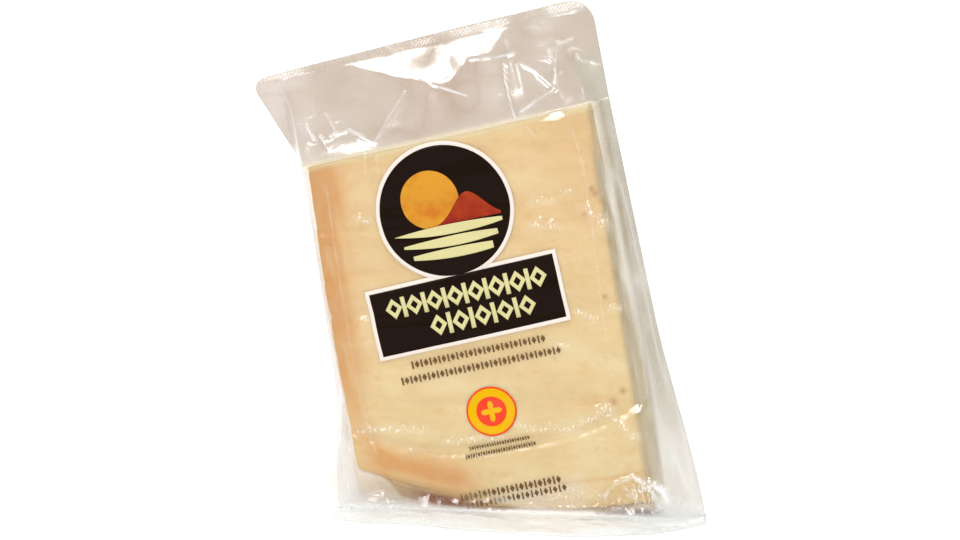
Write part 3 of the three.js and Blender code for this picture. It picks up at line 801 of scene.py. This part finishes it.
def hard_cheese():
    """Long-aged hard cow's milk cheese, broken rather than cut: a pale straw crumb with fine grain, deeper
    amber next to the rind and in the corner that dried, and a brown rind. Its top edge is painted paler as
    a painted highlight, and its front's left edge browner as painted shade."""
    m = blank("aged_hard_cheese")
    at = add(m, "TexCoord").outputs["Object"]
    amber, pale_and_lit_top, fleck, rind_and_shade = (
        add(m, "Attribute", attribute_name=key).outputs["Fac"] for key in ("amber", "pale_and_lit_top", "fleck", "rind_and_shade")
    )
    stretched = add(m, "Mapping", {"Vector": at, "Rotation": (0, LEAN_LEFT, 0), "Scale": (0.45, 1, 1)})
    clouds = add(m, "TexNoise", {"Vector": stretched, "Scale": 60.0, "Detail": 4.0, "Roughness": 0.6})
    young = ramp(m, clouds, [(0.3, "#dbb882"), (0.5, "#e3c592"), (0.7, "#e9d3a6")])
    old = ramp(m, clouds, [(0.3, "#dcc18e"), (0.5, "#e3d09f"), (0.7, "#eadcb5")])
    spots = add(m, "TexNoise", {"Vector": at, "Scale": 260.0, "Detail": 3.0, "Roughness": 0.6})
    speck = add(m, "MapRange", {
        "Value": spots, "From Min": 0.3, "From Max": 0.42, "To Min": 0.3, "To Max": 0.0,
    })
    patch = add(m, "TexNoise", {"Vector": at, "Scale": 75.0, "Detail": 3.0})
    uneven = add(m, "Math", {0: patch, 1: 0.9, 2: 0.55}, operation="MULTIPLY_ADD")
    ragged = add(m, "Math", {0: uneven, 1: amber}, operation="MULTIPLY", use_clamp=True)
    # Fine specks, dried amber parts, brown flecks, and the rind with the painted shade down the left edge,
    # each over the one before.
    layers = ((speck, "#cfa468"), (ragged, "#d6984e"), (fleck, "#b5743f"), (rind_and_shade, "#9a6740"))
    colour = add(m, "Mix", {0: pale_and_lit_top, 6: young, 7: old}, data_type="RGBA").outputs[2]
    for share, code in layers:
        colour = add(m, "Mix", {0: share, 6: colour, 7: linear(code)}, data_type="RGBA").outputs[2]
    grain = add(m, "TexNoise", {"Vector": at, "Scale": 600.0, "Detail": 3.0})
    bump = add(m, "Bump", {"Height": grain, "Strength": 0.35, "Distance": 0.0006})
    body = add(m, "BsdfPrincipled", {
        "Base Color": colour, "Roughness": 0.55, "IOR": 1.45, "Normal": bump,
        "Subsurface Weight": 0.1, "Subsurface Scale": 0.002, "Subsurface Radius": (1.0, 0.6, 0.3),
    })
    add(m, "OutputMaterial", {"Surface": body})
    return m


def ink(name, colour, worn="#cfc4ba", wear=0.05):
    """Solvent ink printed on film by flexography: an even field, slightly glossy, with
    faint cloudiness where the film below it is wrinkled. worn is the tone it clouds to, or
    the second tone of a field that is shaded in two."""
    m = blank(name)
    at = add(m, "TexCoord").outputs["Object"]
    clouds = add(m, "TexNoise", {"Vector": at, "Scale": 110.0, "Detail": 3.0})
    faded = add(m, "MapRange", {"Value": clouds, "From Min": 0.45, "From Max": 0.7, "To Max": wear})
    shade = add(m, "Mix", {0: faded, 6: linear(colour), 7: linear(worn)}, data_type="RGBA").outputs[2]
    wrinkle = add(m, "TexNoise", {"Vector": at, "Scale": 140.0, "Detail": 2.0})
    bump = add(m, "Bump", {"Height": wrinkle, "Strength": 0.4, "Distance": 0.0008})
    body = add(m, "BsdfPrincipled", {
        "Base Color": shade, "Roughness": 0.35, "Specular IOR Level": 0.03, "Coat Weight": 0.06,
        "Coat Roughness": 0.06, "Normal": bump,
    })
    add(m, "OutputMaterial", {"Surface": body})
    return m


# ================================ pouch ================================

SHIFT = np.zeros(3)
FILM_WEB = np.linspace(1, 0, 13)[:-1] ** 1.2
FILM_COLUMNS = make_columns(FILM_SKIN, FILM_WEB, 6, 5, 150)
FILM_EDGE = rounding(FILM_SKIN.top, TOP_TENT, 6, 5)
HEADER_UP = np.concatenate([np.linspace(1, 0.91, 8)[:-1], np.linspace(0.91, 0.015, 58)])
FACE_ALONG = np.linspace(0, 1, 153)[1:]
FOOT_ALONG = np.linspace(0, 1, 9)[1:]
SKIRT_ALONG = np.linspace(0, 1, 17)[1:]


def pouch_sheet(front):
    """One sheet of the pouch, from the header's top edge to the skirt's free edge."""
    relief = face_relief if front else back_relief
    header = header_rows(FILM_COLUMNS, FILM_SKIN, HEADER_UP, front)
    top = top_rows(FILM_COLUMNS, FILM_SKIN, FILM_EDGE, front, relief)
    face = face_rows(FILM_COLUMNS, FILM_SKIN, FACE_ALONG, front, relief)
    foot = foot_rows(FILM_COLUMNS, face[0][-1], face[1][-1], FOOT_ALONG, front)
    skirt = skirt_rows(FILM_COLUMNS, SKIRT_ALONG, front)
    below = np.arange(1, len(FOOT_ALONG) + len(SKIRT_ALONG) + 1)[:, None]
    a = np.concatenate([header[1], top[1], face[1], face[1][-1] + 0 * below])
    b = np.concatenate([header[2], top[2], face[2], face[2][-1] - below])
    return np.concatenate([header[0], top[0], face[0], foot, skirt]), a, b


front_sheet, film_a, film_b = pouch_sheet(True)
back_sheet = pouch_sheet(False)[0]
film_low = np.minimum(front_sheet.min((0, 1)), back_sheet.min((0, 1)))
film_high = np.maximum(front_sheet.max((0, 1)), back_sheet.max((0, 1)))
SHIFT = np.array((CAD_LOW + CAD_HIGH) / 2) / MM - (film_low + film_high) / 2
SHIFT[2] = 0

pouch = sheets_mesh("pouch_film", front_sheet, back_sheet)

rows = {
    "header": len(HEADER_UP), "top": len(FILM_EDGE[1]), "face": len(FACE_ALONG),
    "foot": len(FOOT_ALONG), "skirt": len(SKIRT_ALONG),
}


def by_row(**values):
    """A column of weights, one for each row of the grid, from a value for each stretch."""
    return np.concatenate([values.get(key, 0) + np.zeros(count) for key, count in rows.items()])[:, None]


row_cling = by_row(top=smooth(FILM_EDGE[0], 0, 0.5), face=1, foot=1 - FOOT_ALONG)
cling = smooth(row_cling * FILM_COLUMNS.lift, 0.1, 0.95)
skirt_zone = by_row(foot=FOOT_ALONG, skirt=1) + 0 * film_a
# Painted highlight along the chunk's top edge, which lies in light from above.
lit_top_edge = bell(film_b - 31.2, 1.8) * smooth(FILM_COLUMNS.lift, 0, 0.8)
beside = 1 - smooth(FILM_COLUMNS.lift, 0.5, 1) + 0 * row_cling
right_wall = between(FILM_COLUMNS.lift, (-0.05, 0.12), (0.97, 1)) * FILM_COLUMNS.right
right_zone = beside * FILM_COLUMNS.right * smooth(film_b, 62, 40)
left_zone = beside * (1 - FILM_COLUMNS.right) * smooth(film_b, 44, 30)
seal_start = header_b(film_a, 1 - SEAL_BAND / HEADER)
seal_zone = smooth(film_b, seal_start - 0.4, seal_start)
# White along folds and pleats: partly the stretched film's whitening, partly painted highlight.
folds = sum(white * fold(film_a, film_b, points, WHITE_WIDTH * width)
            for points, width, _, white in HEADER_FOLDS + FACE_FOLDS + CORNER_FOLDS)
folds = folds * (0.75 + 0.35 * noise(film_a, film_b, 4, 52)) * (1 - skirt_zone)
pleats = ridged(film_a, film_b / 14, 3.4, 53) * beside * smooth(film_b, 30, 10)
tightened = 0.7 * puckers(film_a, film_b) * cling

def veil(clinging, wall):
    """Light that a sheet scatters: its colour, and the share of what lies behind that it hides, as eased
    mixes from zone to zone; some zones paint shade and highlights, as said above them. clinging is where
    the sheet lies on the cheese, and wall where it bridges the corner beside the chunk's right side."""
    low_b = smooth(film_b, -90, -140)
    # Rows where painted shade darkens the film below the chunk and below its right corner.
    below_chunk = by_row(foot=between(FOOT_ALONG, (0.2, 0.4), (0.6, 0.9)))
    below_corner = by_row(foot=between(FOOT_ALONG, (0.25, 0.5), (0.6, 0.9)))
    low_edge = smooth(-film_b, 127, 135) * between(film_a, (-14, -4), (28, 40))
    tall_wall = mix(0.1, 1, smooth(-film_b, -22, 0)) * mix(1, 0.8, smooth(-film_b, 50, 95))
    zones = [
        ("header left", "#b89b83", 0.38, 1 + 0 * film_a),
        ("header right", "#a98f6e", 0.42, smooth(film_a, -72, -25)),
        ("header middle", "#a27d50", 0.42, bell(film_a - 8, 34)),
        ("right fin", "#a09372", 0.46, right_zone),
        ("right fin's middle", "#8f7c52", 0.46, 0.6 * right_zone * bell(film_b + 15, 32)),
        ("left fin", "#d6cbbb", 0.24, left_zone),
        ("right foot", "#d3cfc2", 0.32, right_zone * low_b),
        ("left foot", "#eeeeec", 0.24, left_zone * low_b),
        ("skirt", "#dfe6e6", 0.2, skirt_zone),
        # Painted highlight: a broad white sheen over the skirt's middle.
        ("skirt's middle", "#ffffff", 0.6, skirt_zone * bell(film_a - 12, 30)),
        ("on the cheese", "#e2c798", 0.2, clinging),
        ("chunk's low edge", "#efe8dc", 0.36, cling * low_edge),
        # Painted shade: the strip beside the chunk's right side is darkened.
        ("beside the right wall", "#a79a7c", 0.83, wall * by_row(face=1) * tall_wall),
        # Painted highlight: a light yellow band along the chunk's top edge.
        ("chunk's top edge", "#f2e2b4", 0.5, lit_top_edge),
        # Painted shade: brown in the gap below the undercut, darkest towards its middle.
        ("below the undercut", "#9c6c48", 0.22, below_chunk * between(film_a, (-45, -36), (-6, 6))),
        ("its darkest part", "#7c421c", 0.5, below_chunk * bell(film_a + 28, 12)),
        # Painted shadow below the raised lower right corner.
        ("below the right bevel", "#736862", 0.4, below_corner * between(film_a, (32, 46), (62, 69))),
        ("tight gathers", "#f8ecd2", 0.3, tightened),
        # Partly painted highlight: white along the folds and pleats.
        ("folds", "#ffffff", 0.7, np.clip(folds + 0.35 * pleats, 0, 1)),
    ]
    tint, haze = 0, 0
    for _, colour, share, weight in zones:
        tint = mix(tint, np.array(linear(colour)), weight[..., None])
        haze = mix(haze, share, weight)
    flow = 0.035 * noise(film_a, film_b, 9, 51) + 0.05 * ridged(film_a, film_b, 13, 54) * (1 - cling)
    return tint, haze + flow


front_tint, front_haze = veil(cling, right_wall)
back_rows = by_row(top=smooth(FILM_EDGE[1], 0, 0.3), face=1, foot=1 - FOOT_ALONG)
back_cling = smooth(back_rows * FILM_COLUMNS.lift, 0.05, 0.45)
back_tint, back_haze = veil(back_cling, 0.6 * right_wall * (1 - smooth(FILM_COLUMNS.lift, 0.1, 0.4)))
paint(pouch, "tint", front_tint, back_tint)
paint(pouch, "haze", front_haze, back_haze)
# Painted glints: along the gathers, in the crumpled corner, in a spot under the bevel and over the skirt,
# this share gives fine bumps and white glints painted by the film's shader.
knot = np.hypot((film_a - KNOT.a) / KNOT.half_a, (film_b - KNOT.b) / KNOT.half_b)
glints_under_bevel = 0.45 * by_row(foot=1) * bell(film_a + 56, 4)
pucker_and_glint_share = tightened + bell(knot, 1) * (1 - skirt_zone) + glints_under_bevel + 0.25 * skirt_zone
paint(pouch, "pucker_and_glints", np.clip(pucker_and_glint_share, 0, 1))
paint(pouch, "seal", seal_zone)
paint_uv(pouch, film_a / 100 + 1, film_b / 100 + 2)
pouch.data.materials.append(barrier_film())

# ================================ cheese ================================

CHEESE_COLUMNS = make_columns(CHEESE_SKIN, np.zeros(0), 14, 5, 165)
CHEESE_EDGE = rounding(CHEESE_SKIN.top, 0, 14, 5)
CHEESE_ALONG = np.linspace(0, 1, 221)[1:]


def cheese_sheet(front):
    """Front or back half of the chunk, down to the line where they meet under the base."""
    relief = (lambda a, b: crags(a, b, 1)) if front else (lambda a, b: crags(a, b, 2))
    top = top_rows(CHEESE_COLUMNS, CHEESE_SKIN, CHEESE_EDGE, front, relief)
    face = face_rows(CHEESE_COLUMNS, CHEESE_SKIN, CHEESE_ALONG, front, relief)
    return [np.concatenate(pair) for pair in zip(top, face)]


def roughen(piece, amount):
    """Sinks every point along its normal by crumbly noise of three sizes, and by pits."""
    count = len(piece.data.vertices)
    co, normal = np.zeros(count * 3, np.float32), np.zeros(count * 3, np.float32)
    piece.data.vertices.foreach_get("co", co)
    piece.data.vertex_normals.foreach_get("vector", normal)
    co, normal = co.reshape(-1, 3), normal.reshape(-1, 3)
    x, y, z = (co / MM).T
    s, t = x + 0.7 * y, z + 0.4 * y
    crumb = sum(waves(s, t, *size) for size in CRUMB)
    pits = 1.2 * smooth(noise(s, t, 4.1, 44), 0.55, 0.95)
    sink = amount * np.clip(0.6 + 0.6 * crumb + pits, 0, 2.4)
    piece.data.vertices.foreach_set("co", (co - normal * (sink * MM)[:, None]).ravel())
    piece.data.update()


cheese_front, cheese_a, cheese_b = cheese_sheet(True)
cheese_back = cheese_sheet(False)[0]
cheese = sheets_mesh("cheese_chunk", cheese_front, cheese_back)
# Brown flecks in the broken surface: a, b and radius.
FLECKS = [
    (65.2, -4, 1.2), (66.4, -6.5, 1.4), (60, -14.2, 1.0), (61.2, -52, 1.1), (60.2, -95.3, 1.6),
    (55, -99.5, 1.8),
]
share_down = np.clip((CHUNK_TOP - cheese_b) / (CHUNK_TOP + 108), 0, 1)
from_rind = cheese_a - chunk_left(share_down)
from_base = AXES_HEIGHT + cheese_a * SIN + cheese_b * COS - underside(cheese_a)
# Amber: a streaky strip beside the rind, the upper left corner, the dried lower left corner, a bruise at
# the right and a darker line above the base.
streaks = 0.75 + 0.35 * noise(cheese_a, cheese_b / 9, 2.6, 45)
strip = mix(1.3, 0.6, smooth(-cheese_b, 48, 88)) * bell(from_rind - 4, 9) * streaks
strip = strip + 0.9 * bell(np.hypot(from_rind, cheese_b - 20), 17)
dried = bell(from_base - 8.5, 7) * between(cheese_a, (-62, -52), (-24, -4))
bruise = 0.35 * bell(np.hypot((cheese_a - 46) / 2.6, cheese_b + 97.5), 3.2)
amber_line_b = np.interp(cheese_a, [1, 24, 42, 56, 64], [-129.2, -131.6, -133.2, -133.4, -133])
amber_line = 0.45 * bell(cheese_b - amber_line_b, 0.9) * smooth(cheese_a, 2, 14)
paint(cheese, "amber", np.clip(0.95 * strip + dried + bruise + amber_line, 0, 1))
# Paler: the lower half and a patch at the upper left, and a painted highlight along the top edge, but not
# below the amber line.
strip_below = smooth(amber_line_b - cheese_b, 0, 1.2) * smooth(cheese_a, 4, 12)
pale_and_lit_top = smooth(-cheese_b, 10, 90) + 0.5 * bell(cheese_b - CHUNK_TOP, 4) - 0.7 * strip_below
pale_and_lit_top = pale_and_lit_top + 0.6 * bell(np.hypot(cheese_a + 37, cheese_b + 8), 15)
paint(cheese, "pale_and_lit_top", np.clip(pale_and_lit_top, 0, 1))
flecks = sum(0.8 * bell(np.hypot(cheese_a - a, cheese_b - b), size) for a, b, size in FLECKS)
paint(cheese, "fleck", np.clip(flecks, 0, 1))
# Rind: the undercut and the underside. Painted shade: a breath of brown down the front's left edge.
under = between(cheese_a, (-50, -40), (-4, 8))
cheese_along = np.concatenate([0 * CHEESE_EDGE[0], CHEESE_ALONG])[:, None]
under_front = smooth(cheese_along, 0.985, 0.995) * under
left_edge_shade = 0.14 * bell(from_rind - 3, 8) * (1 - smooth(-cheese_b, 50, 90))
under_back = smooth(cheese_along, 0.66, 0.7) * smooth(CHEESE_COLUMNS.lift, 0.87, 1)
paint(cheese, "rind_and_shade", np.maximum(under_front, left_edge_shade), under_back)
merge_doubles(cheese)
roughen(cheese, 0.4)
cheese.data.materials.append(hard_cheese())

# ================================ print ================================

PRINT_LIFT = 0.12            # the lowest ink's face stands this far in front of the film
INK = 0.09                   # each ink lies this far over the one below
DISC_RADIUS, RING = 29.1, 1.8
PLATE = [(-42, -59.1), (42.7, -57.2), (42.5, -28.1), (-41.8, -30.1)]
PLATE_TILT = math.radians(1.35)
SEAL_CENTRE, SEAL_RADIUS = (0.6, -92.8), 11.4

INKS = {
    "dark_ink": ink("black_film_ink", "#1b0e07", wear=0),
    "white_ink": ink("white_film_ink", "#e9ddd3"),
    "cream_ink": ink("cream_film_ink", "#d3cb93"),
    "amber_ink": ink("amber_film_ink", "#d2922f", "#b85a18", 0.6),
    "rust_ink": ink("rust_film_ink", "#8d2418", "#b54a22", 0.5),
    "yellow_ink": ink("yellow_film_ink", "#e2ad04"),
    "red_ink": ink("red_film_ink", "#ea3f22"),
    "brown_ink": ink("brown_film_ink", "#6d5030"),
}


def print_piece(name, a, b, layer, slot):
    """Ink on the film's front: one or more grids of (a, b) laid on the relief."""
    points = world(a, b, face_relief(a, b) - PRINT_LIFT - INK * layer)
    tall, wide = a.shape[-2:]
    faces = grid_faces(tall, wide, a.size // (tall * wide))
    piece = quads_object(name, points.reshape(-1, 3), faces)
    merge_doubles(piece, 0.01)
    thick = piece.modifiers.new("ink", "SOLIDIFY")
    thick.thickness, thick.offset = 0.03 * MM, -1
    piece.data.materials.append(INKS[slot])
    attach(piece, "root")
    return piece


def disc(centre, radius, rings=36, spokes=181):
    """A disc as a grid from its rim to its middle, once round."""
    r = np.linspace(radius, 0, rings)
    r, turn = np.meshgrid(r, np.linspace(0, -2 * math.pi, spokes), indexing="ij")
    return centre[0] + r * np.cos(turn), centre[1] + r * np.sin(turn)


def quad_grid(corners, tall, wide):
    """A grid over four corners: bottom left, bottom right, top right and top left."""
    v, u = np.meshgrid(np.linspace(1, 0, tall), np.linspace(0, 1, wide), indexing="ij")
    bl, br, tr, tl = (np.array(corner, float) for corner in corners)
    grid = mix(mix(bl, br, u[..., None]), mix(tl, tr, u[..., None]), v[..., None])
    return grid[..., 0], grid[..., 1]


def grown(corners, by):
    """Corners moved outwards by a margin, along both sides."""
    signs = [(-1, -1), (1, -1), (1, 1), (-1, 1)]
    return [(a + by * s, b + by * t) for (a, b), (s, t) in zip(corners, signs)]


def marks(centres, outline):
    """Many small four-cornered marks round the centres, turned like the plate, each a grid of
    4 by 4 points."""
    cos, sin = math.cos(PLATE_TILT), math.sin(PLATE_TILT)
    spin, outline = np.array([[cos, sin], [-sin, cos]]), np.array(outline, float)
    bl, br, tr, tl = (np.array(centres, float)[:, None, None] + corner @ spin for corner in outline)
    v, u = np.meshgrid(np.linspace(1, 0, 4), np.linspace(0, 1, 4), indexing="ij")
    v, u = v[..., None], u[..., None]
    grid = mix(mix(bl, br, u), mix(tl, tr, u), v)
    return grid[..., 0], grid[..., 1]


def row_of(start, end, count):
    """The middles of count equal stretches from start to end."""
    start, end = np.array(start, float), np.array(end, float)
    return [tuple(mix(start, end, (i + 0.5) / count)) for i in range(count)]


print_piece("white_ring", *disc((0, 0), DISC_RADIUS + RING), 0, "white_ink")
print_piece("white_plate", *quad_grid(grown(PLATE, RING), 40, 110), 0, "white_ink")
print_piece("black_disc", *disc((0, 0), DISC_RADIUS), 1, "dark_ink")
print_piece("black_plate", *quad_grid(PLATE, 40, 110), 1, "dark_ink")


def band(left, right, lower, upper, tall=10, wide=60):
    """The field between two curves over a stretch of a."""
    v, a = np.meshgrid(np.linspace(1, 0, tall), np.linspace(left, right, wide), indexing="ij")
    return a, mix(lower(a), upper(a), v)


# Sunrise over fields, in place of a picture.
print_piece("round_sun", *disc((-5.5, 6), 13), 2, "amber_ink")
hill = band(-9, 24.5, lambda a: -6, lambda a: -6 + 12.5 * bell(a - 11, 9.5) - 0.6 * np.abs(a - 11) / 14)
print_piece("far_hill", *hill, 3, "rust_ink")
for index in range(3):
    top, reach = -6.6 - 5.2 * index, 24.5 - 3.2 * index
    field = band(
        -reach, reach, lambda a: top - 4.0 + 0.004 * (a - 4) ** 2, lambda a: top - 0.002 * a ** 2 + 0.5
    )
    print_piece("field_%d" % index, *field, 4, "cream_ink")

# Lozenge frames and bars on the plate, in two rows. LOZENGE and HOLE are half their heights.
LOZENGE, HOLE, NARROW = 4.8, 2.1, 0.82


def frames(centres):
    """Lozenge frames as four slanted strokes each."""
    grids = []
    tips = np.array([(NARROW, 0), (0, 1), (-NARROW, 0), (0, -1), (NARROW, 0)])
    for start, end in zip(tips[:-1], tips[1:]):
        grids.append(marks(centres, [LOZENGE * start, LOZENGE * end, HOLE * end, HOLE * start]))
    return np.concatenate([g[0] for g in grids]), np.concatenate([g[1] for g in grids])


BAR = [(-1, -4.7), (1, -4.7), (1, 4.7), (-1, 4.7)]
lozenges = row_of((-37, -38.6), (39, -36.9), 8) + row_of((-19, -49.6), (32, -48.5), 5)
bars = row_of((-32.2, -38.5), (34.2, -37), 7) + row_of((-13.9, -49.5), (26.9, -48.6), 4)
print_piece("plate_lozenges", *frames(lozenges), 2, "cream_ink")
print_piece("plate_bars", *marks(bars, BAR), 2, "cream_ink")

# Rows of tiny lozenges and ticks where small print would be.
TICK = [(-0.38, -1.7), (0.38, -1.7), (0.38, 1.7), (-0.38, 1.7)]
DOT = [(0, -1.7), (1.05, 0), (0, 1.7), (-1.05, 0)]
LINES = [
    ((-30.8, -65.2), (31.5, -64.6), 30, 1.0), ((-36.9, -71.6), (37.1, -71.2), 36, 1.0),
    ((-13.5, -108.2), (14.8, -108), 24, 0.6), ((-15.9, -111.6), (16.9, -111.4), 28, 0.6),
    ((-22.6, -129.8), (24.6, -129.4), 22, 1.05), ((-20.7, -134), (26.4, -133.6), 22, 0.95),
]
for index, (start, end, count, size) in enumerate(LINES):
    spots = row_of(start, end, count)
    ticks, dots = marks(spots[0::2], np.array(TICK) * size), marks(spots[1::2], np.array(DOT) * size)
    both = [np.concatenate(pair) for pair in zip(ticks, dots)]
    print_piece("small_print_%d" % index, *both, 0, "brown_ink")

# Round seal: a yellow band between red, with a four-petal flower.
print_piece("seal_rim", *disc(SEAL_CENTRE, SEAL_RADIUS), 0, "red_ink")
print_piece("seal_band", *disc(SEAL_CENTRE, SEAL_RADIUS - 0.8), 1, "yellow_ink")
print_piece("seal_heart", *disc(SEAL_CENTRE, SEAL_RADIUS * 0.6), 2, "red_ink")
spread, turn = np.meshgrid(np.linspace(1, 0, 10), np.linspace(0, -2 * math.pi, 97), indexing="ij")
petal = spread * (1.6 + 3.2 * np.cos(2 * turn) ** 2)
flower = SEAL_CENTRE[0] + petal * np.cos(turn), SEAL_CENTRE[1] + petal * np.sin(turn)
print_piece("seal_flower", *flower, 3, "yellow_ink")

# ================================ riding, studio, camera ================================

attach(pouch, "root")
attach(cheese, "root")
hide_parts("sealed_pack")


def studio_floor():
    """A wide matt board that glows a little, as a light table does."""
    half = 14000
    v, u = np.meshgrid(np.linspace(half, -half, 3), np.linspace(-half, half, 3), indexing="ij")
    points = np.stack([u, v, 0 * u - 0.05], -1).reshape(-1, 3)
    floor = quads_object("studio_floor", points, grid_faces(3, 3))
    m = blank("matt_white_board")
    body = add(m, "BsdfPrincipled", {
        "Base Color": (0.9, 0.9, 0.9, 1), "Roughness": 0.9, "Specular IOR Level": 0.1,
        "Emission Color": (1, 1, 1, 1), "Emission Strength": 0.2,
    })
    add(m, "OutputMaterial", {"Surface": body.outputs[0]})
    floor.data.materials.append(m)


def softbox(name, toward, width, light):
    """A round soft light far off, seen from the pack in the direction toward, as many
    degrees wide as said, and giving that much light on a surface that faces it."""
    data = bpy.data.lights.new(name, "SUN")
    data.angle, data.energy = math.radians(width), light
    lamp = bpy.data.objects.new(name, data)
    lamp.rotation_euler = Vector(toward).to_track_quat("Z", "Y").to_euler()
    bpy.context.collection.objects.link(lamp)


studio_floor()
softbox("key_light", (-0.25, -0.9, 0.45), 13, 0.9)
softbox("side_light", (0.6, -0.8, 0.2), 30, 0.25)
softbox("top_light", (0.0, -0.2, 1.0), 50, 1.85)
softbox("back_light", (-0.1, 0.85, 0.5), 20, 0.35)

world_light = bpy.data.worlds.new("studio")
world_light.use_nodes = True
backdrop = world_light.node_tree.nodes["Background"]
backdrop.inputs["Color"].default_value = (1, 1, 1, 1)
backdrop.inputs["Strength"].default_value = 0.4
bpy.context.scene.world = world_light
bpy.context.scene.view_settings.view_transform = "Standard"

CAMERA_PLACE, CAMERA_AIM = (0.0735, -0.7002, 0.2839), (0.0005, -0.0054, 0.1097)
camera_data = bpy.data.cameras.new("camera")
camera_data.sensor_width, camera_data.lens = 36, 60.75
camera_data.clip_start, camera_data.clip_end = 0.05, 60
camera = bpy.data.objects.new("camera", camera_data)
camera.location = CAMERA_PLACE
aim = Vector(CAMERA_AIM) - camera.location
camera.rotation_euler = aim.to_track_quat("-Z", "Y").to_euler()
bpy.context.collection.objects.link(camera)
bpy.context.scene.camera = camera
